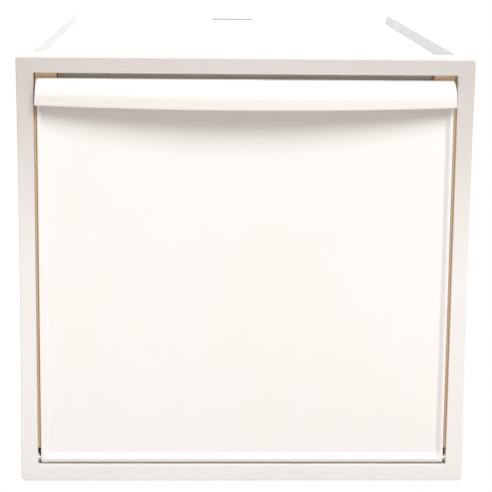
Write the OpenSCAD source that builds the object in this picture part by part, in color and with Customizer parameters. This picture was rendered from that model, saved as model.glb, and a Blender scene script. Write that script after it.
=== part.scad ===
// Modular moulded storage box with a drop-front flap.
// X is across the front, +Y runs from the front to the back and +Z is up.
// The origin is on the underside, at the middle of the whole box's footprint.

/* [Case] */
// Width of the case
case_w = 344; // [300:1:400]
// Height of the case
case_h = 330; // [300:1:400]
// Depth of the case, front frame to rear face
case_d = 530; // [480:1:600]
// Width of the front frame at the sides
bar_side = 13; // [12:0.5:18]
// Height of the front frame along the top
bar_top = 12; // [12:0.5:18]
// Height of the front frame along the bottom
bar_bottom = 13; // [12:0.5:18]
// Thickness of the sleeve's walls
wall_t = 2.2; // [2:0.1:3]
// Depth of the front band, front to back
band_d = 44; // [36:1:60]
// Depth of the rear band
rear_band_d = 16; // [15:1:44]
// Thickness of the rims along the top and bottom recesses
rim_t = 8.2; // [6:0.1:10]
// Height of the edge beams above and below the side recesses
edge_beam = 15; // [14:0.5:24]
// Radius of the long outer corners
corner_r = 3; // [1:0.5:5]

/* [Back] */
// Thickness of the back panel
back_t = 2.5; // [2:0.1:3]
// Width of the ledge that the back panel lies on
back_ledge = 6.5; // [6:0.1:7]
// Depth of the back panel's outer face below the rear rim
back_inset = 3; // [2:0.1:4]

/* [Door] */
// Gap between the door and the frame at each side
door_gap_side = 2.25; // [1.5:0.05:3]
// Gap between the door and the frame at the bottom
door_gap_bottom = 0.8; // [0.5:0.1:1.5]
// Gap between the door and the frame at the top
door_gap_top = 4; // [3.5:0.1:5]
// Depth of the door moulding, without its liner
door_d = 12; // [12:0.5:14]
// Thickness of the door's inner liner
liner_t = 2; // [1.5:0.1:2.5]
// Depth of the dished centre of the front face
dish_d = 3; // [1:0.1:3]
// Width of the flat rim round the dish
dish_rim = 1.6; // [1:0.1:3]
// Width of the sloping border of the dish
dish_slope = 4.4; // [2:0.1:8]

/* [Pull lip] */
// Width of the lip
lip_w = 316; // [300:0.5:317]
// Height of the lip
lip_h = 20; // [18:0.5:20.5]
// How far the middle of the lip stands out from the frame
lip_reach_mid = 23; // [18:0.5:28]
// How far the ends of the lip stand out from the frame
lip_reach_end = 10; // [5:0.5:12]
// Thickness of the lip
lip_t = 3; // [2:0.1:4]
// Outer radius of the lip's bend
lip_bend = 11; // [10.5:0.5:14]
// Angle that the lip's face leans back by, below the bend
lip_lean = 12; // [0:0.5:14]

/* [Hinge and stays] */
// Diameter of the hinge pins
pin_d = 4; // [3:0.5:4]
// Length of each hinge pin
pin_l = 26; // [24:1:28]
// Radius from the hinge to the middle of each stay
stay_r = 160; // [150:1:180]
// Width of each stay
stay_w = 8; // [6:0.5:10]
// Thickness of each stay
stay_t = 2.5; // [2:0.1:3]
// Angle that the flap opens to
open_angle = 82; // [60:1:82]

/* [Hidden] */
$fn = 64;
eps = 0.01;

// The inside of the sleeve
in_x = case_w / 2 - bar_side;
in_bottom = bar_bottom;
in_top = case_h - bar_top;
// Overall depth runs from the middle of the lip to the rear face
front_y = -(case_d - lip_reach_mid) / 2;

// Door outline
door_x = in_x - door_gap_side;
nose_r = 4;
hinge_y = nose_r;
hinge_z = in_bottom + door_gap_bottom + nose_r;
door_bottom = in_bottom + door_gap_bottom;
door_top = in_top - door_gap_top;
door_wall = 3;
skin_back = dish_d + door_wall;
liner_back = door_d + liner_t;

// Notches in the door's top corners, which clear the catches
notch_x = in_x - 18;
notch_y = skin_back - 0.5;
notch_z = in_top - 21.5;

// The lip's outer face is an arc in plan
lip_bow = lip_reach_mid - lip_reach_end;
lip_r = (pow(lip_w / 2, 2) + pow(lip_bow, 2)) / (2 * lip_bow);
lip_low = door_top - lip_h;
lip_tail = 45;
edge_r = lip_t / 2;
lip_step = 0.08;
// Length of the lip's leaning face, from the bend to the middle of its round edge
lip_face = (lip_h - lip_bend - edge_r - (lip_bend - edge_r) * sin(lip_lean)) / cos(lip_lean);
cheek_t = 2.8;

// Catches
catch_x0 = notch_x + 1.2;
catch_x1 = in_x - 0.6;
catch_y0 = notch_y + 1.9;
catch_body_d = 15;
catch_y1 = catch_y0 + 27;
catch_z0 = in_top - 19;
flange_t = 4;
pocket_x0 = catch_x0 + 2;
pocket_x1 = catch_x0 + 12.5;
pocket_z0 = catch_z0 + 2.5;
pocket_d = 12;
pocket_gap = 0.1;
magnet_t = 5;
magnet_back = 0.5;
pole_t = 1.2;
pocket_z1 = pocket_z0 + magnet_t + 2 * pole_t + 2 * pocket_gap;
striker_t = 1.2;
// Place of each catch's screw
catch_screw_x = (catch_x0 + catch_x1) / 2;
catch_screw_y = catch_y1 - 6;
// Edges of each striker, and the height of its rivet
striker_x0 = notch_x + 2;
striker_x1 = door_x - 1.5;
striker_z0 = notch_z + 1;
striker_z1 = door_top - 1;
striker_rivet_x = (striker_x0 + striker_x1) / 2;
striker_rivet_z = (striker_z0 + striker_z1) / 2;

// Strips that close the gaps beside the door
strip_gap = 0.4;
strip_y0 = 2.6;
strip_y1 = 11;
strip_z0 = hinge_z + nose_r + 4;
strip_z1 = catch_z0 - 2;

// Stop rib behind the door's top edge
rib_y = liner_back + 0.8;
rib_t = 3;
rib_h = 18;

// Stays and their guides
stay_x = in_x - 9;
foot_l = 26;
foot_w = 24;
foot_t = 2;
foot_z = hinge_z + sqrt(pow(stay_r, 2) - pow(liner_back - hinge_y, 2));
guide_x0 = stay_x - 2.5;
guide_t = in_x - guide_x0;
guide_y0 = liner_back + foot_t + 1;
guide_y1 = guide_y0 + 7;
guide_y = (guide_y0 + guide_y1) / 2;
guide_z = hinge_z + sqrt(pow(stay_r, 2) - pow(guide_y - hinge_y, 2));
guide_h = 32;
guide_slack = 0.5;
hook_w = 16;
hook_angle = 1;
// The hook meets the guide's back just past the flap's open angle
stop_slack = 0.4;
guide_angle = acos((guide_y1 - hinge_y) / (stay_r - hook_w / 2));
tail_angle = guide_angle - open_angle - stop_slack - hook_angle;
// Heights of a guide's screws, and distances of a foot's screws from the middle
guide_screw_z = [guide_z - guide_h / 2 + 4, guide_z + guide_h / 2 - 4];
foot_screw_x = [stay_x - foot_l + 5, stay_x - 8];

// Back panel's edges, and the places of its screws on the ledge, as [x, z]
back_x = in_x + back_ledge;
back_z0 = in_bottom - back_ledge;
back_z1 = in_top + back_ledge - 1;
back_y = case_d - back_inset - back_t;
back_gap = 0.3;
back_screw_places = [
    for (x = [-1, 1] * (in_x + back_ledge / 2), z = [60, case_h / 2, case_h - 60]) [x, z],
    for (x = [-90, 90], z = [back_z0, back_z1 - back_ledge] + [1, 1] * back_ledge / 2) [x, z]
];

// Places of the liner's screws, as [x, z]
liner_screw_places = [
    for (x = [-1, 0, 1] * (notch_x - 21), z = [40, case_h / 2, notch_z - 16.5]) [x, z]
];

// Hinge bushes
bush_r = pin_d / 2 + 1;
bush_proud = 0.8;
bush_deep = 10;
pin_gap = 0.05;
// How far each pin reaches into the case
pin_reach = 8.2;

// Fasteners
screw_d = 3;
screw_gap = 0.05;
head_d = 5.6;
head_t = 1.8;
rivet_deep = 1.7;
// Lengths of the screws' shanks, and the room left past their tips
back_screw_l = 9;
guide_screw_l = 18;
catch_screw_l = 11;
liner_screw_l = 7;
stay_screw_l = 8.5;
tip_room = 1;

// Clip slot for a neighbouring box, in the rear band
clip_w = 42;
clip_h = 1.6;
clip_deep = 8;
clip_down = 4.6;

WHITE = [0.93, 0.91, 0.88];
TAN = [0.75, 0.60, 0.42];
STEEL = [0.72, 0.72, 0.72];
GREY = [0.35, 0.35, 0.36];

// Puts the front frame's plane, y = 0 below, at its place in the whole box
module placed() {
    translate([0, front_y, 0]) children();
}

// Draws the children at the left (-1) or the right (1)
module on_side(side) {
    mirror([side < 0 ? 1 : 0, 0, 0]) children();
}

module rounded_rect(w, h, r) {
    translate([r, 0]) square([w - 2 * r, h]);
    translate([0, r]) square([w, h - 2 * r]);
    for (x = [r, w - r]) {
        for (z = [r, h - r]) {
            translate([x, z]) circle(r);
        }
    }
}

// Extrudes an X-Z outline along +Y, from y0 to y1
module along_y(y0, y1) {
    translate([0, y1, 0]) rotate([90, 0, 0]) linear_extrude(y1 - y0) children();
}

// Extrudes a Y-Z outline along X, from x0 to x1
module along_x(x0, x1) {
    translate([x0, 0, 0]) rotate([90, 0, 90]) linear_extrude(x1 - x0) children();
}

// A box given by its lowest and highest corners
module block(low, high) {
    translate(low) cube(high - low);
}

// A pan-head screw whose head seats at the origin, with its shank along -Z
module screw(shank) {
    translate([0, 0, -shank]) cylinder(d = screw_d, h = shank + eps, $fn = 24);
    difference() {
        cylinder(d1 = head_d, d2 = head_d - 1.2, h = head_t, $fn = 32);
        translate([-head_d, -0.4, head_t - 0.8]) cube([2 * head_d, 0.8, 2]);
    }
}

module screw_hole(deep) {
    translate([0, 0, -deep]) cylinder(d = screw_d + 2 * screw_gap, h = deep + 1, $fn = 24);
}

// Sleeve with its two bands, rims, edge beams, stop rib and bores
module case_shell() {
    color(WHITE) placed() difference() {
        union() {
            difference() {
                translate([-case_w / 2, 0, 0]) along_y(0, case_d) rounded_rect(case_w, case_h, corner_r);
                block([-in_x, -1, in_bottom], [in_x, case_d + 1, in_top]);
                case_recesses();
            }
            block([-notch_x, rib_y, in_top - rib_h], [notch_x, rib_y + rib_t, in_top + eps]);
        }
        // Rebate for the back panel
        block(
            [-back_x - back_gap, back_y, back_z0 - back_gap],
            [back_x + back_gap, case_d + 1, back_z1 + back_gap]
        );
        for (p = back_screw_places) {
            translate([p.x, back_y, p.y]) rotate([-90, 0, 0]) screw_hole(back_screw_l - back_t + tip_room);
        }
        for (side = [-1, 1]) {
            on_side(side) {
                // Seat of the hinge bush
                translate([in_x - 1, hinge_y, hinge_z]) rotate([0, 90, 0]) {
                    cylinder(r = bush_r, h = bush_deep + 1);
                }
                for (z = guide_screw_z) {
                    translate([in_x, guide_y, z]) rotate([0, -90, 0]) {
                        screw_hole(guide_screw_l - guide_t + tip_room);
                    }
                }
                translate([catch_screw_x, catch_screw_y, in_top]) rotate([180, 0, 0]) {
                    screw_hole(catch_screw_l - flange_t + tip_room);
                }
            }
        }
        // Slot for a clip, in the rear band's front face
        block(
            [-clip_w / 2, case_d - rear_band_d - 1, case_h - clip_down - clip_h],
            [clip_w / 2, case_d - rear_band_d + clip_deep, case_h - clip_down]
        );
    }
}

// Recess in each of the four long sides, between the bands
module case_recesses() {
    y0 = band_d;
    y1 = case_d - rear_band_d;
    x = case_w / 2 - rim_t;
    block([-x, y0, in_top + wall_t], [x, y1, case_h + 1]);
    block([-x, y0, -1], [x, y1, in_bottom - wall_t]);
    for (side = [-1, 1]) {
        on_side(side) block([in_x + wall_t, y0, edge_beam], [case_w / 2 + 1, y1, case_h - edge_beam]);
    }
}

module back_panel() {
    color(WHITE) placed() difference() {
        block([-back_x, back_y, back_z0], [back_x, back_y + back_t, back_z1]);
        for (p = back_screw_places) {
            translate([p.x, back_y + back_t, p.y]) rotate([-90, 0, 0]) screw_hole(2 * back_t);
        }
    }
}

module back_screws() {
    color(STEEL) placed() for (p = back_screw_places) {
        translate([p.x, back_y + back_t, p.y]) rotate([-90, 0, 0]) screw(back_screw_l);
    }
}

// Plain bush with a bore for the hinge pin, blind against the band
module hinge_bush(side) {
    color(WHITE) placed() on_side(side) translate([in_x, hinge_y, hinge_z]) rotate([0, 90, 0]) difference() {
        translate([0, 0, -bush_proud]) cylinder(r = bush_r, h = bush_proud + bush_deep);
        translate([0, 0, -2]) cylinder(r = pin_d / 2 + pin_gap, h = bush_deep + 1);
    }
}

module hinge_bush_left() {
    hinge_bush(-1);
}

module hinge_bush_right() {
    hinge_bush(1);
}

module stay_ring(r0, r1, x0, x1) {
    translate([x0, hinge_y, hinge_z]) rotate([0, 90, 0]) difference() {
        cylinder(r = r1, h = x1 - x0, $fn = 256);
        translate([0, 0, -1]) cylinder(r = r0, h = x1 - x0 + 2, $fn = 256);
    }
}

// Block on the case's side, with a window that the stay runs through
module stay_guide(side) {
    color(WHITE) placed() on_side(side) difference() {
        block([guide_x0, guide_y0, guide_z - guide_h / 2], [in_x, guide_y1, guide_z + guide_h / 2]);
        stay_ring(
            stay_r - stay_w / 2 - guide_slack, stay_r + stay_w / 2 + guide_slack,
            stay_x - guide_slack, stay_x + stay_t + guide_slack
        );
        for (z = guide_screw_z) {
            translate([guide_x0, guide_y, z]) rotate([0, -90, 0]) screw_hole(2 * guide_t);
        }
    }
}

module stay_guide_left() {
    stay_guide(-1);
}

module stay_guide_right() {
    stay_guide(1);
}

module guide_screws() {
    color(STEEL) placed() for (side = [-1, 1], z = guide_screw_z) {
        on_side(side) translate([guide_x0, guide_y, z]) rotate([0, -90, 0]) screw(guide_screw_l);
    }
}

// Catch housing, with a pocket in front for the magnet and its pole plates
module catch_housing(side) {
    color(TAN) placed() on_side(side) difference() {
        block([catch_x0, catch_y0, catch_z0], [catch_x1, catch_y1, in_top]);
        block([pocket_x0, catch_y0 - 1, pocket_z0], [pocket_x1, catch_y0 + pocket_d, pocket_z1]);
        // Step that leaves the screw's flange
        block(
            [catch_x0 - 1, catch_y0 + catch_body_d, catch_z0 - 1],
            [catch_x1 + 1, catch_y1 + 1, in_top - flange_t]
        );
        translate([catch_screw_x, catch_screw_y, in_top - flange_t]) rotate([180, 0, 0]) {
            screw_hole(2 * flange_t);
        }
    }
}

module catch_housing_left() {
    catch_housing(-1);
}

module catch_housing_right() {
    catch_housing(1);
}

module catch_magnet(side) {
    z0 = pocket_z0 + pocket_gap + pole_t;
    color(GREY) placed() on_side(side) block(
        [pocket_x0 + pocket_gap, catch_y0 + magnet_back, z0],
        [pocket_x1 - pocket_gap, catch_y0 + pocket_d, z0 + magnet_t]
    );
}

module catch_magnet_left() {
    catch_magnet(-1);
}

module catch_magnet_right() {
    catch_magnet(1);
}

// Two steel plates that carry the magnet's pull to the striker
module pole_plates(side) {
    z0 = pocket_z0 + pocket_gap;
    color(STEEL) placed() on_side(side) for (z = [z0, z0 + pole_t + magnet_t]) {
        block(
            [pocket_x0 + pocket_gap, catch_y0, z],
            [pocket_x1 - pocket_gap, catch_y0 + pocket_d, z + pole_t]
        );
    }
}

module pole_plates_left() {
    pole_plates(-1);
}

module pole_plates_right() {
    pole_plates(1);
}

module catch_screws() {
    color(STEEL) placed() for (side = [-1, 1]) {
        on_side(side) translate([catch_screw_x, catch_screw_y, in_top - flange_t]) {
            rotate([180, 0, 0]) screw(catch_screw_l);
        }
    }
}

// Tan strip on the case's side, beside the door
module gap_strip(side) {
    color(TAN) placed() on_side(side) {
        block([door_x + strip_gap, strip_y0, strip_z0], [in_x, strip_y1, strip_z1]);
    }
}

module gap_strip_left() {
    gap_strip(-1);
}

module gap_strip_right() {
    gap_strip(1);
}

// The lip's section, as distance from the arc's centre and height
module lip_section(filled) {
    bend_x = lip_r - lip_bend;
    bend_z = door_top - lip_bend;
    edge_x = bend_x + (lip_bend - edge_r) * cos(lip_lean) - lip_face * sin(lip_lean);
    translate([lip_r - lip_tail, door_top - lip_t]) square([lip_tail - lip_bend, lip_t]);
    translate([bend_x, bend_z]) {
        intersection() {
            difference() {
                circle(lip_bend);
                if (!filled) circle(lip_bend - lip_t);
            }
            polygon([
                [0, 0], [0, 2 * lip_bend], [2 * lip_bend, 2 * lip_bend], [2 * lip_bend, 0],
                2 * lip_bend * [cos(lip_lean), -sin(lip_lean)]
            ]);
        }
        rotate(-lip_lean) {
            translate([lip_bend - lip_t + lip_step, -lip_face]) square([lip_t - 2 * lip_step, lip_face + 1]);
            translate([lip_bend - edge_r, -lip_face]) circle(edge_r);
        }
    }
    if (filled) {
        translate([lip_r - lip_tail, lip_low]) square([lip_tail - lip_r + edge_x, lip_h - lip_t]);
    }
}

module lip_sweep(filled) {
    sweep = 2 * asin((lip_w / 2 + 4) / lip_r);
    translate([0, lip_r - lip_reach_mid, 0]) rotate([0, 0, -90 - sweep / 2]) {
        rotate_extrude(angle = sweep, $fn = 720) lip_section(filled);
    }
}

module lip() {
    half = lip_w / 2;
    intersection() {
        lip_sweep(false);
        block([cheek_t - half, -lip_reach_mid - 1, lip_low - 1], [half - cheek_t, notch_y, door_top + 1]);
    }
    for (side = [-1, 1]) {
        on_side(side) intersection() {
            lip_sweep(true);
            block([half - cheek_t, -lip_reach_mid - 1, lip_low - 1], [half, eps, door_top + 1]);
        }
    }
}

// Outline of the door moulding from the side, with its round nose
module door_outline() {
    translate([hinge_y, hinge_z]) circle(nose_r);
    translate([0, hinge_z]) square([door_d, door_top - hinge_z]);
    translate([hinge_y, door_bottom]) square([door_d - hinge_y, hinge_z - door_bottom + eps]);
}

module door_panel() {
    color(WHITE) placed() {
        difference() {
            union() {
                along_x(-door_x, door_x) door_outline();
                lip();
            }
            dish();
            door_pockets();
            corner_notches();
            for (side = [-1, 1]) {
                on_side(side) {
                    translate([door_x + 1, hinge_y, hinge_z]) rotate([0, -90, 0]) {
                        cylinder(d = pin_d, h = pin_l - pin_reach + 0.2);
                    }
                    translate([striker_rivet_x, notch_y, striker_rivet_z]) {
                        rotate([-90, 0, 0]) screw_hole(rivet_deep + 0.1);
                    }
                }
            }
        }
        door_bosses();
    }
}

// Shallow dish in the front face, with sloping borders
module dish() {
    x0 = door_x - dish_rim;
    z0 = door_bottom + dish_rim + 1;
    z1 = door_top - lip_t;
    hull() {
        block([-x0, -1, z0 - 0.3], [x0, -0.9, z1]);
        block([-x0, -0.1, z0], [x0, 0, z1]);
        block([-x0 + dish_slope, dish_d - 0.1, z0 + dish_slope], [x0 - dish_slope, dish_d, z1]);
    }
}

// Hollow behind the front face
module door_pockets() {
    x = door_x - door_wall;
    block([-x, skin_back, hinge_z + nose_r + 3], [x, door_d + 1, notch_z - door_wall]);
    block(
        [-notch_x + door_wall, skin_back, notch_z - door_wall - eps],
        [notch_x - door_wall, door_d + 1, door_top - door_wall]
    );
}

module corner_notches() {
    for (side = [-1, 1]) {
        on_side(side) block([notch_x, notch_y, notch_z], [door_x + 5, door_d + 1, door_top + 1]);
    }
}

// Screw bosses behind the front face, for the liner and the stays
module door_bosses() {
    for (p = liner_screw_places) {
        translate([p.x, door_d, p.y]) rotate([-90, 0, 0]) boss();
    }
    for (side = [-1, 1], x = foot_screw_x) {
        on_side(side) translate([x, door_d, foot_z]) rotate([-90, 0, 0]) boss();
    }
}

module boss() {
    deep = door_d - skin_back;
    difference() {
        translate([0, 0, -deep - eps]) cylinder(d = 7, h = deep + eps, $fn = 32);
        screw_hole(deep - 0.5);
    }
}

// Flat inner skin of the door
module door_liner() {
    gap = 0.5;
    color(WHITE) placed() difference() {
        union() {
            block([-door_x + gap, door_d, door_bottom + gap], [door_x - gap, liner_back, notch_z - gap]);
            block(
                [-notch_x + gap, door_d, notch_z - gap - eps],
                [notch_x - gap, liner_back, door_top - gap]
            );
        }
        for (p = liner_screw_places) {
            translate([p.x, liner_back, p.y]) rotate([-90, 0, 0]) screw_hole(2 * liner_t);
        }
        for (side = [-1, 1], x = foot_screw_x) {
            on_side(side) translate([x, liner_back, foot_z]) rotate([-90, 0, 0]) screw_hole(2 * liner_t);
        }
    }
}

module liner_screws() {
    color(STEEL) placed() for (p = liner_screw_places) {
        translate([p.x, liner_back, p.y]) rotate([-90, 0, 0]) screw(liner_screw_l);
    }
}

module hinge_pin(side) {
    color(STEEL) placed() on_side(side) {
        translate([in_x + pin_reach - pin_l, hinge_y, hinge_z]) rotate([0, 90, 0]) {
            cylinder(d = pin_d, h = pin_l);
        }
    }
}

module hinge_pin_left() {
    hinge_pin(-1);
}

module hinge_pin_right() {
    hinge_pin(1);
}

// Quarter-round stay with a foot on the door and a stop at its tail
module stay(side) {
    x1 = stay_x + stay_t;
    color(STEEL) placed() on_side(side) difference() {
        union() {
            intersection() {
                stay_ring(stay_r - stay_w / 2, stay_r + stay_w / 2, stay_x, x1);
                stay_sector(tail_angle, 90);
                block([stay_x - 1, liner_back, 0], [x1 + 1, case_d, case_h]);
            }
            intersection() {
                stay_ring(stay_r - hook_w / 2, stay_r + hook_w / 2, stay_x, x1);
                stay_sector(tail_angle, tail_angle + hook_angle);
            }
            block(
                [stay_x - foot_l, liner_back, foot_z - foot_w / 2],
                [x1, liner_back + foot_t, foot_z + foot_w / 2]
            );
        }
        for (x = foot_screw_x) {
            translate([x, liner_back + foot_t, foot_z]) rotate([-90, 0, 0]) screw_hole(2 * foot_t);
        }
    }
}

// Wedge about the hinge, from angle a0 up to a1, measured from straight back
module stay_sector(a0, a1) {
    far = 1.5 * stay_r;
    middle = (a0 + a1) / 2;
    translate([0, hinge_y, hinge_z]) along_x(stay_x - 1, stay_x + stay_t + 1) polygon([
        [0, 0],
        for (a = [a0, middle, a1]) far * [cos(a), sin(a)]
    ]);
}

module stay_left() {
    stay(-1);
}

module stay_right() {
    stay(1);
}

module stay_screws() {
    color(STEEL) placed() for (side = [-1, 1], x = foot_screw_x) {
        on_side(side) translate([x, liner_back + foot_t, foot_z]) rotate([-90, 0, 0]) screw(stay_screw_l);
    }
}

// Steel plate that the catch pulls on, behind the lip
module striker(side) {
    color(STEEL) placed() on_side(side) difference() {
        block([striker_x0, notch_y, striker_z0], [striker_x1, notch_y + striker_t, striker_z1]);
        translate([striker_rivet_x, notch_y + striker_t, striker_rivet_z]) {
            rotate([-90, 0, 0]) screw_hole(2 * striker_t);
        }
    }
}

module striker_left() {
    striker(-1);
}

module striker_right() {
    striker(1);
}

// Rivets, flush with the strikers
module striker_rivets() {
    color(STEEL) placed() for (side = [-1, 1]) {
        on_side(side) translate([striker_rivet_x, notch_y - rivet_deep, striker_rivet_z]) {
            rotate([-90, 0, 0]) cylinder(d = screw_d, h = rivet_deep + striker_t, $fn = 24);
        }
    }
}

case_shell();
back_panel();
back_screws();
hinge_bush_left();
hinge_bush_right();
stay_guide_left();
stay_guide_right();
guide_screws();
catch_housing_left();
catch_housing_right();
catch_magnet_left();
catch_magnet_right();
pole_plates_left();
pole_plates_right();
catch_screws();
gap_strip_left();
gap_strip_right();
door_panel();
door_liner();
liner_screws();
hinge_pin_left();
hinge_pin_right();
stay_left();
stay_right();
stay_screws();
striker_left();
striker_right();
striker_rivets();
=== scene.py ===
"""Looks of a moulded storage box with a drop-front flap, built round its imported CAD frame."""

import math

import bmesh
import bpy
from mathutils import Matrix, Vector


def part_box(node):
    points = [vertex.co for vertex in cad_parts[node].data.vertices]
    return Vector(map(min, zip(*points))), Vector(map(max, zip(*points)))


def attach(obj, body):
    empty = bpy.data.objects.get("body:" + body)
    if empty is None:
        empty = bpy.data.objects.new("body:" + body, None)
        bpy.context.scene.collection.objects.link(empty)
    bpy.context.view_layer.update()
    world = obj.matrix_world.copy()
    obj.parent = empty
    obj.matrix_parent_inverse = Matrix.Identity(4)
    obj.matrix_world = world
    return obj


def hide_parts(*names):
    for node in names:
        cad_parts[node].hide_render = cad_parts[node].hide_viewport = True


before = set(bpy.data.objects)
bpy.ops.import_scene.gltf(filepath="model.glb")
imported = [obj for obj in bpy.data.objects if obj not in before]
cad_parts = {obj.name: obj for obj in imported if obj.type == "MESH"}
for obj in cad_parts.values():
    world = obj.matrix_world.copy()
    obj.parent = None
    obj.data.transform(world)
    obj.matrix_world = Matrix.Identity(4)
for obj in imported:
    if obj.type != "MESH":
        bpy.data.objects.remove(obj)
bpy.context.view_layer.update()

MM = 0.001

# Sizes from the frame
case_low, case_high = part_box("case_shell")
flap_low, flap_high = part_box("door_panel")
catch_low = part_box("catch_housing_right")[0]
pin_low, pin_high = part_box("hinge_pin_right")
FRONT = case_low.y
BACK = case_high.y
HALF = case_high.x
HEIGHT = case_high.z
HINGE_Y = (pin_low.y + pin_high.y) / 2 - FRONT

# Sizes of the case moulding
BAR_SIDE = 13 * MM
BAR_TOP = 12 * MM
BAR_BOTTOM = 13 * MM
WALL = 2.2 * MM
BAND = 44 * MM
REAR_BAND = 16 * MM
RIM = 8.2 * MM
EDGE_BEAM = 15 * MM
IN_X = HALF - BAR_SIDE
IN_TOP = HEIGHT - BAR_TOP

# Sizes of the flap moulding
FLAP_X = IN_X - 2.25 * MM
FLAP_DEEP = flap_high.y - FRONT
FLAP_TOP = flap_high.z
FLAP_BOTTOM = flap_low.z
NOTCH_X = IN_X - 18 * MM
NOTCH_Y = 5.5 * MM
NOTCH_Z = IN_TOP - 21.5 * MM
DISH = 3 * MM
DISH_RIM = 1.6 * MM
DISH_SLOPE = 4.4 * MM
DISH_FOOT = 2.6 * MM
DISH_CORNER = 8 * MM
FLAP_ROUND = 0.9 * MM

# Sizes of the pull lip
LIP_X = flap_high.x
LIP_REACH = FRONT - flap_low.y
LIP_BOW = 13 * MM
LIP_HIGH = 20 * MM
LIP_LOW = FLAP_TOP - LIP_HIGH
LIP_T = 3 * MM
LIP_BEND = 11 * MM
LIP_LEAN = 12
LIP_EDGE = LIP_T / 2
LIP_SLANT = 1.5 * MM
LIP_SAG = 1.4 * MM
LIP_SAG_LEVEL = 0.7


# ---------------------------------------------------------------- mesh tools


def spread(start, stop, count):
    """count + 1 even values from start to stop."""
    return [start + (stop - start) * i / count for i in range(count + 1)]


def both_ways(values):
    """The values and their negatives, in order, each once."""
    return sorted({round(s * v, 7) for v in values for s in (-1, 1)})


def add_object(name, bm, smooth=True):
    """A new object from a bmesh, whose places are in the row frame."""
    bmesh.ops.recalc_face_normals(bm, faces=bm.faces)
    mesh = bpy.data.meshes.new(name)
    bm.to_mesh(mesh)
    bm.free()
    for polygon in mesh.polygons:
        polygon.use_smooth = smooth
    made = bpy.data.objects.new(name, mesh)
    bpy.context.scene.collection.objects.link(made)
    return made


def cell_solid(xs, ys, zs, filled):
    """A closed quad mesh round the grid's cells for which filled(x, y, z), at the cell's middle, is true."""
    bm = bmesh.new()
    corners = {}

    def corner(i, j, k):
        if (i, j, k) not in corners:
            corners[i, j, k] = bm.verts.new((xs[i], ys[j], zs[k]))
        return corners[i, j, k]

    sizes = (len(xs) - 1, len(ys) - 1, len(zs) - 1)
    solid = set()
    for i in range(sizes[0]):
        for j in range(sizes[1]):
            for k in range(sizes[2]):
                middle = ((xs[i] + xs[i + 1]) / 2, (ys[j] + ys[j + 1]) / 2, (zs[k] + zs[k + 1]) / 2)
                if filled(*middle):
                    solid.add((i, j, k))
    for cell in solid:
        for axis in range(3):
            for end in (0, 1):
                beyond = list(cell)
                beyond[axis] += 2 * end - 1
                if tuple(beyond) in solid:
                    continue
                u, v = [a for a in range(3) if a != axis]
                ring = []
                for du, dv in ((0, 0), (1, 0), (1, 1), (0, 1)):
                    at = list(cell)
                    at[axis] += end
                    at[u] += du
                    at[v] += dv
                    ring.append(corner(*at))
                bm.faces.new(ring)
    bmesh.ops.recalc_face_normals(bm, faces=bm.faces)
    return bm


def loft(sections):
    """A closed solid through sections, each a closed ring of the same number of points."""
    bm = bmesh.new()
    rings = [[bm.verts.new(point) for point in section] for section in sections]
    for a, b in zip(rings, rings[1:]):
        for i in range(len(a)):
            j = (i + 1) % len(a)
            bm.faces.new((a[i], a[j], b[j], b[i]))
    bm.faces.new(rings[0])
    bm.faces.new(rings[-1])
    return bm


def sharp_edges(bm, degrees):
    limit = math.radians(degrees)
    return [e for e in bm.edges if len(e.link_faces) == 2 and e.calc_face_angle(0) > limit]


def round_edges(bm, edges, radius, segments):
    bmesh.ops.bevel(
        bm,
        geom=edges,
        offset=radius,
        segments=segments,
        profile=0.5,
        affect="EDGES",
        clamp_overlap=True,
    )


def combine(target, other, operation):
    """Applies a boolean of other to target, and removes other."""
    modifier = target.modifiers.new("combine", "BOOLEAN")
    modifier.operation = operation
    modifier.solver = "EXACT"
    modifier.object = other
    apply_modifiers(target)
    bpy.data.objects.remove(other)


def apply_modifiers(target):
    bpy.context.view_layer.update()
    depsgraph = bpy.context.evaluated_depsgraph_get()
    mesh = bpy.data.meshes.new_from_object(target.evaluated_get(depsgraph))
    target.modifiers.clear()
    target.data = mesh


def even_normals(target):
    """Flat faces stay flat and rounded edges shade smoothly."""
    modifier = target.modifiers.new("even normals", "WEIGHTED_NORMAL")
    modifier.keep_sharp = True
    modifier.weight = 100


def finish_piece(piece, body, nodes, material):
    piece.data.materials.clear()
    piece.data.materials.append(material)
    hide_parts(*nodes)
    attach(piece, body)
    return piece


# ---------------------------------------------------------------- materials

# How far behind the frame's plane the gap round the flap starts to take its painted lighter tone, which
# stands in for bounce light
GAP_START = 0.6 * MM
# How strongly the painted shade on the front's top takes away red, green and blue
TOP_SHADE_TINT = (0.9, 1.03, 1.1)


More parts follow.
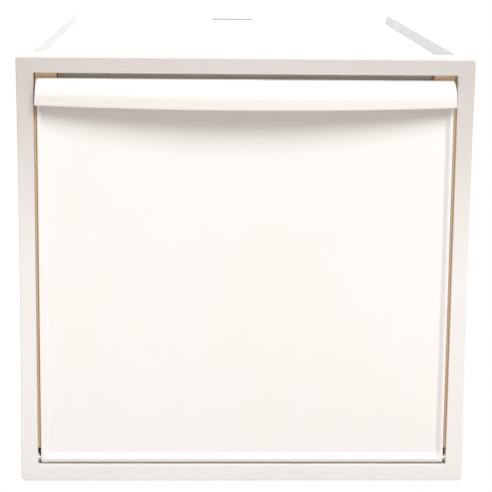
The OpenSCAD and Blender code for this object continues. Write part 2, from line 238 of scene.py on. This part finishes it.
class Nodes:
    """A few short calls for building a material's node tree."""

    def __init__(self, name):
        self.material = bpy.data.materials.new(name)
        self.material.use_nodes = True
        self.tree = self.material.node_tree
        self.shader = self.tree.nodes["Principled BSDF"]
        self.place = self.tree.nodes.new("ShaderNodeTexCoord").outputs["Object"]

    def link(self, output, target):
        self.tree.links.new(output, target)

    def stretched(self, scale):
        node = self.tree.nodes.new("ShaderNodeMapping")
        node.inputs["Scale"].default_value = scale
        self.link(self.place, node.inputs["Vector"])
        return node.outputs["Vector"]

    def noise(self, scale, detail=3.0, rough=0.5, vector=None):
        node = self.tree.nodes.new("ShaderNodeTexNoise")
        node.inputs["Scale"].default_value = scale
        node.inputs["Detail"].default_value = detail
        node.inputs["Roughness"].default_value = rough
        self.link(vector or self.place, node.inputs["Vector"])
        return node.outputs["Fac"]

    def ramp(self, value, low, high, a=0.35, b=0.65):
        """value from a to b, spread over low to high."""
        node = self.tree.nodes.new("ShaderNodeMapRange")
        node.interpolation_type = "SMOOTHSTEP"
        node.inputs["From Min"].default_value = a
        node.inputs["From Max"].default_value = b
        node.inputs["To Min"].default_value = low
        node.inputs["To Max"].default_value = high
        self.link(value, node.inputs["Value"])
        return node.outputs["Result"]

    def math(self, operation, a, b):
        node = self.tree.nodes.new("ShaderNodeMath")
        node.operation = operation
        for value, socket in ((a, node.inputs[0]), (b, node.inputs[1])):
            if isinstance(value, (int, float)):
                socket.default_value = value
            else:
                self.link(value, socket)
        return node.outputs["Value"]

    def mix(self, factor, a, b):
        node = self.tree.nodes.new("ShaderNodeMix")
        node.data_type = "RGBA"
        self.link(factor, node.inputs["Factor"])
        for value, socket in ((a, node.inputs["A"]), (b, node.inputs["B"])):
            socket = [s for s in node.inputs if s.name == socket.name and s.type == "RGBA"][0]
            if isinstance(value, tuple):
                socket.default_value = (*value, 1)
            else:
                self.link(value, socket)
        return [s for s in node.outputs if s.type == "RGBA"][0]

    def axis(self, name):
        node = self.tree.nodes.new("ShaderNodeSeparateXYZ")
        self.link(self.place, node.inputs["Vector"])
        return node.outputs[name]

    def bump(self, height, strength, distance):
        node = self.tree.nodes.new("ShaderNodeBump")
        node.inputs["Strength"].default_value = strength
        node.inputs["Distance"].default_value = distance
        self.link(height, node.inputs["Height"])
        self.link(node.outputs["Normal"], self.shader.inputs["Normal"])

    def set(self, **values):
        for name, value in values.items():
            socket = self.shader.inputs[name.replace("_", " ").title().replace("Ior", "IOR")]
            if isinstance(value, bpy.types.NodeSocket):
                self.link(value, socket)
            elif isinstance(value, tuple):
                socket.default_value = (*value, 1)
            else:
                socket.default_value = value
        return self.material


def moulded_plastic(name, base, aged, inner, inner_mask, grain, rough, top_shade=1.0):
    """inner is a tone inside the gap round the flap, where inner_mask(n) is 1. It is painted light: lighter
    than the plastic, to make up for bounce light that the lamps here don't bring in. The last argument
    paints shade: it greys the top of the front face, to stand for a falloff of the light."""
    n = Nodes(name)
    patches = n.ramp(n.noise(9, 4, 0.55), 0, 1, 0.38, 0.68)
    colour = n.mix(patches, base, aged)
    flow = n.ramp(n.noise(7, 5, 0.6, n.stretched((14, 14, 1.2))), 0, 0.35, 0.45, 0.75)
    colour = n.mix(flow, colour, tuple(0.975 * c for c in base))
    # Painted shade: the top of the front face turns greyer, for the light's falloff there
    upper = n.ramp(n.axis("Z"), 0, 1, 0.45 * HEIGHT, 1.02 * HEIGHT)
    face = n.ramp(n.axis("Y"), 1, 0, FRONT + GAP_START, FRONT + 12 * MM)
    grey = tuple(c * top_shade**k for c, k in zip(base, TOP_SHADE_TINT))
    colour = n.mix(n.math("MULTIPLY", upper, face), colour, grey)
    # Painted light: deeper in the gap the colour turns to the lighter inner tone, for bounce light the lamps
    # don't bring in
    deep = n.ramp(n.axis("Y"), 0, 1, FRONT + GAP_START, FRONT + 3.5 * MM)
    near = n.ramp(n.axis("Y"), 1, 0, FRONT + 40 * MM, FRONT + 90 * MM)
    within = n.math("MULTIPLY", n.math("MULTIPLY", deep, near), inner_mask(n))
    colour = n.mix(within, colour, inner)
    scuffs = n.ramp(n.noise(60, 6, 0.7, n.stretched((1, 1, 4))), 0, 1, 0.55, 0.8)
    gloss = n.ramp(n.noise(25, 4), rough - 0.04, rough + 0.06)
    roughness = n.math("ADD", gloss, n.math("MULTIPLY", scuffs, 0.08))
    height = n.math(
        "ADD",
        n.noise(900, 2, 0.5),
        n.math("MULTIPLY", n.noise(14, 3, 0.5), 4),
    )
    n.bump(height, grain, 0.00012)
    return n.set(base_color=colour, roughness=roughness, specular_ior_level=0.45)


def plain_plastic(name, base, worn, rough):
    n = Nodes(name)
    colour = n.mix(n.ramp(n.noise(120, 4), 0, 1), base, worn)
    n.bump(n.noise(1400, 2), 0.15, 0.00008)
    return n.set(base_color=colour, roughness=n.ramp(n.noise(90, 3), rough - 0.05, rough + 0.07))


def plated_steel(name, base, dull):
    n = Nodes(name)
    brushed = n.noise(160, 5, 0.6, n.stretched((1, 1, 14)))
    colour = n.mix(n.ramp(n.noise(70, 4), 0, 1), base, dull)
    n.bump(brushed, 0.1, 0.00004)
    return n.set(base_color=colour, metallic=1.0, roughness=n.ramp(brushed, 0.24, 0.42))


def ferrite(name):
    n = Nodes(name)
    colour = n.mix(n.ramp(n.noise(700, 4), 0, 1), (0.03, 0.03, 0.032), (0.07, 0.068, 0.066))
    n.bump(n.noise(2200, 3), 0.3, 0.00006)
    return n.set(base_color=colour, roughness=n.ramp(n.noise(500, 3), 0.55, 0.75))


def within_opening(n):
    """1 inside the case's sleeve, and 0 outside it."""
    x = n.ramp(n.math("ABSOLUTE", n.axis("X"), 0), 1, 0, IN_X + 0.1 * MM, IN_X + 0.5 * MM)
    low = n.ramp(n.axis("Z"), 0, 1, BAR_BOTTOM - 0.5 * MM, BAR_BOTTOM - 0.1 * MM)
    high = n.ramp(n.axis("Z"), 1, 0, IN_TOP + 0.1 * MM, IN_TOP + 0.5 * MM)
    return n.math("MULTIPLY", n.math("MULTIPLY", x, low), high)


def flap_edge(n):
    """1 on the flap's narrow sides, and 0 on its face."""
    return n.ramp(n.math("ABSOLUTE", n.axis("X"), 0), 0, 1, FLAP_X - 0.25 * MM, FLAP_X - 0.05 * MM)


# The lighter inner tones are painted bounce light in the gap, and the greyer top of the case's front is
# painted shade
case_white = moulded_plastic(
    "case white plastic",
    base=(0.75, 0.755, 0.765),
    aged=(0.745, 0.745, 0.745),
    inner=(0.95, 0.90, 0.83),
    inner_mask=within_opening,
    grain=0.12,
    rough=0.42,
    top_shade=0.70,
)
flap_white = moulded_plastic(
    "flap white plastic",
    base=(0.80, 0.80, 0.81),
    aged=(0.79, 0.785, 0.79),
    inner=(0.93, 0.87, 0.79),
    inner_mask=flap_edge,
    grain=0.10,
    rough=0.36,
)
acetal = plain_plastic("natural acetal", (0.70, 0.64, 0.54), (0.66, 0.59, 0.49), 0.38)
brown_plastic = plain_plastic("brown strip plastic", (0.56, 0.39, 0.24), (0.52, 0.36, 0.22), 0.6)
tan_plastic = plain_plastic("tan catch plastic", (0.96, 0.70, 0.44), (0.92, 0.66, 0.41), 0.6)
zinc = plated_steel("zinc plated steel", (0.62, 0.62, 0.60), (0.50, 0.50, 0.49))
bright_zinc = plated_steel("bright screw steel", (0.68, 0.67, 0.64), (0.55, 0.54, 0.52))
magnet = ferrite("sintered ferrite")


# ---------------------------------------------------------------- the case

REBATE_X = IN_X + 6.8 * MM
REBATE_LOW = BAR_BOTTOM - 6.8 * MM
REBATE_HIGH = IN_TOP + 5.8 * MM
REBATE_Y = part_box("back_panel")[0].y
RIB_Y = FRONT + FLAP_DEEP + 2.8 * MM
RIB_T = 3 * MM
RIB_X = catch_low.x - 0.3 * MM
RIB_LOW = IN_TOP - 18 * MM
SLOT_X = 21 * MM
SLOT_Y = BACK - REAR_BAND + 2.5 * MM
SLOT_LOW = HEIGHT - 6.2 * MM
SLOT_HIGH = HEIGHT - 4.6 * MM
CASE_BOW = 1.0 * MM
CASE_ROUND = 0.7 * MM

# Side (-1 left, 1 right), whether high (1) or low (0), and the radius of each long edge
CASE_CORNERS = (
    (-1, 0, 4.2 * MM),
    (1, 0, 2.6 * MM),
    (-1, 1, 1.6 * MM),
    (1, 1, 3.0 * MM),
)


def case_filled(x, y, z):
    """Whether the case moulding holds this point."""
    x = abs(x)
    if RIB_Y < y < RIB_Y + RIB_T and x < RIB_X and RIB_LOW < z < IN_TOP:
        return True
    if x < IN_X and BAR_BOTTOM < z < IN_TOP:
        return False
    if y > REBATE_Y and x < REBATE_X and REBATE_LOW < z < REBATE_HIGH:
        return False
    between = FRONT + BAND < y < BACK - REAR_BAND
    if between and x < HALF - RIM and (z > IN_TOP + WALL or z < BAR_BOTTOM - WALL):
        return False
    if between and x > IN_X + WALL and EDGE_BEAM < z < HEIGHT - EDGE_BEAM:
        return False
    in_slot = BACK - REAR_BAND < y < SLOT_Y and x < SLOT_X and SLOT_LOW < z < SLOT_HIGH
    return not in_slot


def make_case():
    xs = both_ways(
        [HALF, HALF - RIM, IN_X + WALL, IN_X, RIB_X, SLOT_X, REBATE_X, 70 * MM, 110 * MM]
    )
    ys = sorted(
        [FRONT, RIB_Y, RIB_Y + RIB_T, FRONT + BAND, BACK - REAR_BAND, SLOT_Y, REBATE_Y, BACK]
        + spread(FRONT + BAND, BACK - REAR_BAND, 8)[1:-1]
    )
    zs = sorted(
        [0, REBATE_LOW, BAR_BOTTOM - WALL, BAR_BOTTOM, EDGE_BEAM, HEIGHT - EDGE_BEAM, RIB_LOW]
        + [IN_TOP, IN_TOP + WALL, SLOT_LOW, SLOT_HIGH, HEIGHT]
        + spread(EDGE_BEAM, RIB_LOW, 8)[1:-1]
    )
    bm = cell_solid(xs, ys, zs, case_filled)
    for side, high, radius in CASE_CORNERS:
        corner = [
            e
            for e in bm.edges
            if all(abs(v.co.x - side * HALF) < 1e-6 and abs(v.co.z - high * HEIGHT) < 1e-6 for v in e.verts)
        ]
        round_edges(bm, corner, radius, 6)
    round_edges(bm, sharp_edges(bm, 40), CASE_ROUND, 3)
    for v in bm.verts:
        out = max(0.0, (abs(v.co.x) - IN_X) / (HALF - IN_X))
        up = 2 * v.co.z / HEIGHT - 1
        v.co.x -= math.copysign(CASE_BOW * out * (1 - up * up), v.co.x)
    piece = add_object("case_moulding", bm)
    even_normals(piece)
    return finish_piece(piece, "case", ["case_shell"], case_white)


# ---------------------------------------------------------------- the flap


def smooth(t):
    t = min(max(t, 0.0), 1.0)
    return t * t * (3 - 2 * t)


def quarter(depth, radius):
    """How far a round edge of this radius falls back, at this distance in from the edge."""
    t = max(0.0, radius - depth)
    return radius - math.sqrt(max(0.0, radius * radius - t * t))


def rounded_min(a, b, radius):
    """The smaller of two distances, with their corner rounded off."""
    if a < radius and b < radius:
        return radius - math.hypot(radius - a, radius - b)
    return min(a, b)


def face_depth(x, z):
    """How far the flap's front face lies behind the frame's plane."""
    side = FLAP_X - abs(x)
    foot = z - FLAP_BOTTOM
    inner = rounded_min(side, foot - DISH_FOOT, DISH_CORNER)
    dish = DISH * smooth((inner - DISH_RIM) / DISH_SLOPE)
    return dish + quarter(side, FLAP_ROUND) + quarter(foot, HINGE_Y)


def make_panel():
    """The dished front of the flap, as a solid back to its liner."""
    fine = [i * 0.3 * MM for i in range(30)]
    xs = sorted(set(spread(-FLAP_X + 9 * MM, FLAP_X - 9 * MM, 40)) | set(
        s * (FLAP_X - d) for d in fine for s in (-1, 1)
    ))
    zs = sorted(set(spread(FLAP_BOTTOM + 14 * MM, FLAP_TOP - 1.2 * MM, 40)) | set(
        FLAP_BOTTOM + i * 0.35 * MM for i in range(40)
    ))
    bm = bmesh.new()
    front = [[bm.verts.new((x, FRONT + face_depth(x, z), z)) for z in zs] for x in xs]
    rear = [[bm.verts.new((x, FRONT + FLAP_DEEP, z)) for z in zs] for x in xs]
    for i in range(len(xs) - 1):
        for j in range(len(zs) - 1):
            bm.faces.new((front[i][j], front[i + 1][j], front[i + 1][j + 1], front[i][j + 1]))
            bm.faces.new((rear[i][j], rear[i][j + 1], rear[i + 1][j + 1], rear[i + 1][j]))
        for j in (0, len(zs) - 1):
            bm.faces.new((front[i][j], front[i + 1][j], rear[i + 1][j], rear[i][j]))
    for j in range(len(zs) - 1):
        for i in (0, len(xs) - 1):
            bm.faces.new((front[i][j], front[i][j + 1], rear[i][j + 1], rear[i][j]))
    panel = add_object("flap_moulding", bm)
    for side in (-1, 1):
        middle = side * (NOTCH_X + 20 * MM)
        cutter = bmesh.new()
        bmesh.ops.create_cube(cutter, size=1)
        size = (40 * MM, 2 * (FLAP_DEEP - NOTCH_Y), 2 * (FLAP_TOP - NOTCH_Z))
        bmesh.ops.scale(cutter, vec=size, verts=cutter.verts)
        bmesh.ops.translate(cutter, vec=(middle, FRONT + FLAP_DEEP, FLAP_TOP), verts=cutter.verts)
        combine(panel, add_object("cutter", cutter), "DIFFERENCE")
    return panel


def lip_front(x):
    """Where the lip's face is at x: an arc in plan."""
    return FRONT - LIP_REACH + LIP_BOW * (x / LIP_X) ** 2


def arc(y, z, radius, start, stop, count):
    """Points round (y, z) from one angle to another, in degrees, measured from -Y towards +Z."""
    angles = [math.radians(a) for a in spread(start, stop, count)]
    return [(y - radius * math.cos(a), z + radius * math.sin(a)) for a in angles]


LIP_TAIL = FRONT + NOTCH_Y - 0.5 * MM
LIP_END_ROUND = 1.2 * MM
LIP_END = 8 * MM
CHEEK = 2.8 * MM


def lip_lines(x):
    """At x, the middle of the lip's bend and the middle of its round lower edge, which sags
    in the middle of the lip."""
    middle_y = lip_front(x) + LIP_BEND
    middle_z = FLAP_TOP - LIP_BEND
    edge_z = LIP_LOW + LIP_EDGE + LIP_SAG * ((x / LIP_X) ** 2 - LIP_SAG_LEVEL)
    lean = math.radians(LIP_LEAN)
    face = (middle_z - edge_z - (LIP_BEND - LIP_EDGE) * math.sin(lean)) / math.cos(lean)
    edge_y = middle_y - (LIP_BEND - LIP_EDGE) * math.cos(lean) + face * math.sin(lean)
    return (middle_y, middle_z), (edge_y, edge_z)


def lip_solid_section(x):
    """The lip's outer section at x, without its hollow. It shrinks at the ends, which rounds them, and the
    ends slant inwards towards the top."""
    past = max(0.0, abs(x) - (LIP_X - LIP_END_ROUND))
    inset = LIP_END_ROUND - math.sqrt(max(0.0, LIP_END_ROUND**2 - past**2))
    middle, edge = lip_lines(x)
    points = [(LIP_TAIL, edge[1] - LIP_EDGE + inset), (LIP_TAIL, FLAP_TOP - inset)]
    points += arc(*middle, LIP_BEND - inset, 90, -LIP_LEAN, 18)
    points += arc(*edge, LIP_EDGE - inset, -LIP_LEAN, -88, 6)
    near_end = max(0.0, (abs(x) - LIP_X + LIP_END) / LIP_END)
    slant = math.copysign(LIP_SLANT * near_end / LIP_HIGH, x)
    return [Vector((x - slant * (z - LIP_LOW), y, z)) for y, z in points]


def lip_hollow_section(x):
    """The finger hollow behind the lip's face at x."""
    middle, edge = lip_lines(x)
    far = FRONT + NOTCH_Y - 0.6 * MM
    points = [(far, LIP_LOW - 4 * MM), (far, FLAP_TOP - LIP_T)]
    points += arc(*middle, LIP_BEND - LIP_T, 90, -LIP_LEAN, 14)
    points += arc(*edge, LIP_EDGE, 180 - LIP_LEAN, 270, 5)
    points += [(edge[0], LIP_LOW - 4 * MM)]
    return [Vector((x, y, z)) for y, z in points]


def make_lip():
    ends = [LIP_X - LIP_END_ROUND * (1 - math.sin(math.radians(a))) for a in (0, 20, 40, 55, 68, 80, 90)]
    xs = both_ways(ends + spread(0, LIP_X - LIP_END, 24) + [LIP_X - LIP_END / 2])
    outer = add_object("flap_lip", loft([lip_solid_section(x) for x in xs]))
    hollow_x = spread(-LIP_X + CHEEK, LIP_X - CHEEK, 48)
    combine(outer, add_object("hollow", loft([lip_hollow_section(x) for x in hollow_x])), "DIFFERENCE")
    return outer


def make_flap():
    flap = make_panel()
    combine(flap, make_lip(), "UNION")
    for polygon in flap.data.polygons:
        polygon.use_smooth = True
    flap.data.set_sharp_from_angle(angle=math.radians(38))
    even_normals(flap)
    return finish_piece(flap, "flap", ["door_panel"], flap_white)


# ---------------------------------------------------------------- small parts


def soften(node, body, material, radius):
    """Stands for a CAD node with the same shape and rounded edges."""
    bm = bmesh.new()
    bm.from_mesh(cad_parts[node].data)
    bmesh.ops.remove_doubles(bm, verts=bm.verts, dist=1e-6)
    bmesh.ops.dissolve_limit(bm, angle_limit=math.radians(0.5), verts=bm.verts, edges=bm.edges)
    round_edges(bm, sharp_edges(bm, 50), radius, 2)
    piece = add_object(node + "_rounded", bm)
    even_normals(piece)
    return finish_piece(piece, body, [node], material)


def paint(node, material):
    """Keeps a CAD node's shape and gives it a material."""
    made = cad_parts[node]
    made.data.materials.clear()
    made.data.materials.append(material)


make_case()
make_flap()

for side in ("left", "right"):
    soften("catch_housing_" + side, "case", tan_plastic, 0.5 * MM)
    soften("stay_guide_" + side, "case", acetal, 0.5 * MM)
    soften("stay_" + side, "flap", zinc, 0.3 * MM)
    soften("striker_" + side, "flap", zinc, 0.2 * MM)
    soften("gap_strip_" + side, "case", brown_plastic, 0.4 * MM)
    paint("catch_magnet_" + side, magnet)
    paint("pole_plates_" + side, zinc)
    paint("hinge_bush_" + side, acetal)
    paint("hinge_pin_" + side, zinc)

soften("back_panel", "case", case_white, 0.4 * MM)
soften("door_liner", "flap", flap_white, 0.4 * MM)
for name in ("back_screws", "guide_screws", "catch_screws", "liner_screws", "stay_screws", "striker_rivets"):
    paint(name, bright_zinc)


# ---------------------------------------------------------------- stage, light and camera

CAMERA_X = -37 * MM
CAMERA_AWAY = 1226 * MM
CAMERA_UP = 440.5 * MM
# Pitch, yaw and roll in degrees
CAMERA_TURN = (10.28, -1.76, 0.59)
CAMERA_LENS = 120.3
CAMERA_SHIFT = -0.081


def seen_white(tree, shader, surface):
    """Puts plain white in place of a shader where the camera sees it directly, as in a cut-out
    studio shot."""
    white = tree.nodes.new("ShaderNodeEmission")
    path = tree.nodes.new("ShaderNodeLightPath")
    mix = tree.nodes.new("ShaderNodeMixShader")
    tree.links.new(path.outputs["Is Camera Ray"], mix.inputs[0])
    tree.links.new(shader, mix.inputs[1])
    tree.links.new(white.outputs[0], mix.inputs[2])
    tree.links.new(mix.outputs[0], surface)


def make_floor():
    bm = bmesh.new()
    bmesh.ops.create_grid(bm, x_segments=1, y_segments=1, size=6)
    floor = add_object("floor", bm, smooth=False)
    n = Nodes("pale floor")
    colour = n.mix(n.ramp(n.noise(3, 3), 0, 1), (0.60, 0.55, 0.50), (0.58, 0.53, 0.48))
    floor.data.materials.append(n.set(base_color=colour, roughness=0.7, specular_ior_level=0.2))
    seen_white(n.tree, n.shader.outputs[0], n.tree.nodes["Material Output"].inputs["Surface"])


def make_light(name, azimuth, elevation, distance, size, power):
    """An area lamp aimed at the flap, from an azimuth to the right of straight ahead."""
    target = Vector((0, FRONT, 0.6 * HEIGHT))
    a, e = math.radians(azimuth), math.radians(elevation)
    direction = Vector((math.sin(a) * math.cos(e), -math.cos(a) * math.cos(e), math.sin(e)))
    data = bpy.data.lights.new(name, "AREA")
    data.shape = "DISK"
    data.size = size
    data.energy = power
    lamp = bpy.data.objects.new(name, data)
    lamp.location = target + direction * distance
    lamp.rotation_euler = direction.to_track_quat("Z", "Y").to_euler()
    bpy.context.scene.collection.objects.link(lamp)


def make_world(strength):
    world = bpy.data.worlds.new("studio")
    world.use_nodes = True
    background = world.node_tree.nodes["Background"]
    background.inputs["Color"].default_value = (1.0, 0.93, 0.86, 1)
    background.inputs["Strength"].default_value = strength
    surface = world.node_tree.nodes["World Output"].inputs["Surface"]
    seen_white(world.node_tree, background.outputs[0], surface)
    bpy.context.scene.world = world


def make_camera():
    """A camera just left of the middle, above the box, looking slightly down and to the right."""
    place = Vector((CAMERA_X, FRONT - CAMERA_AWAY, CAMERA_UP))
    pitch, yaw, roll = (math.radians(a) for a in CAMERA_TURN)
    turn = Matrix.Rotation(roll, 3, "Z") @ Matrix.Rotation(pitch, 3, "X") @ Matrix.Rotation(yaw, 3, "Y")
    looking_ahead = Matrix(((1, 0, 0), (0, 0, -1), (0, 1, 0)))
    right, down, ahead = turn @ looking_ahead
    data = bpy.data.cameras.new("camera")
    data.sensor_width = 36
    data.lens = CAMERA_LENS
    data.shift_y = CAMERA_SHIFT
    data.clip_end = 50
    camera = bpy.data.objects.new("camera", data)
    camera.matrix_world = Matrix.Translation(place) @ Matrix((right, -down, -ahead)).transposed().to_4x4()
    bpy.context.scene.collection.objects.link(camera)
    bpy.context.scene.camera = camera


make_floor()
make_light("key", 16, 45, 4.2, 2.5, 165)
make_light("overhead", 180, 72, 1.8, 1.0, 23)
make_world(0.47)
make_camera()
bpy.context.scene.view_settings.view_transform = "Standard"
